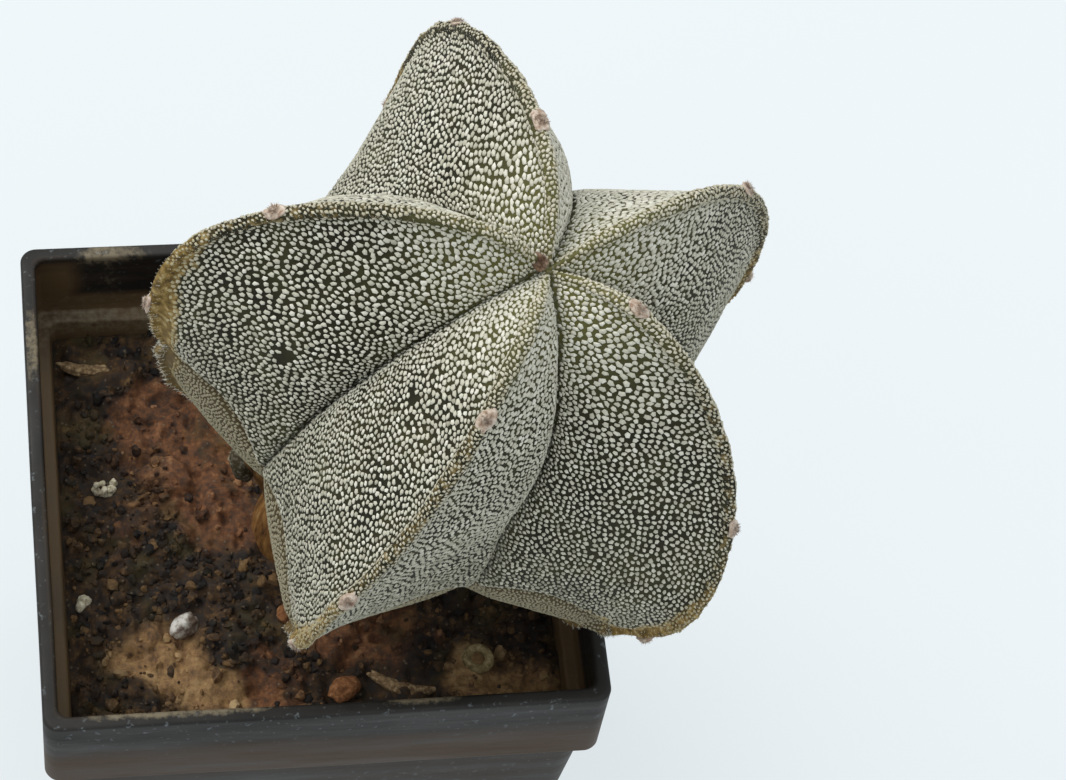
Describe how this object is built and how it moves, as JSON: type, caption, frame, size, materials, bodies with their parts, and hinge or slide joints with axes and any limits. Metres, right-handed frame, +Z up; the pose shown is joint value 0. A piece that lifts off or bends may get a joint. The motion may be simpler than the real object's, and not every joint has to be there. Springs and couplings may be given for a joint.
{
  "type": "potted bishop's cap cactus",
  "caption": "Leaning star-shaped cactus with deep ribs, woolly areoles and flecked skin, rooted in crumbly soil in a square, tapered nursery pot.",
  "frame": {"origin": "middle of the pot's flat underside, where the pot stands", "axes": "+X along the pot's front edge to the right, +Y to the pot's back edge, +Z up; the plant leans towards +X"},
  "size_m": [0.0904, 0.0777, 0.1509],
  "materials": {
    "pot_plastic": "weathered moulded black plastic with soil dust",
    "soil": "crumbly dark peat compost",
    "cactus_skin": "dark olive skin densely covered in pale woolly flecks",
    "perlite": "porous white perlite",
    "pebble": "dull grey stone",
    "clay": "rough red fired clay",
    "bark": "dry weathered bark",
    "husk": "dry pale husk"
  },
  "bodies": {
    "root": {"pot": "pot_plastic", "soil": "soil", "cactus_body": "cactus_skin", "perlite_1": "perlite", "perlite_2": "perlite", "pebble_grey": "pebble", "clay_bit_1": "clay", "clay_bit_2": "clay", "bark_sliver": "bark", "bark_strip": "bark", "seed_husk": "husk"}
  },
  "joints": []
}
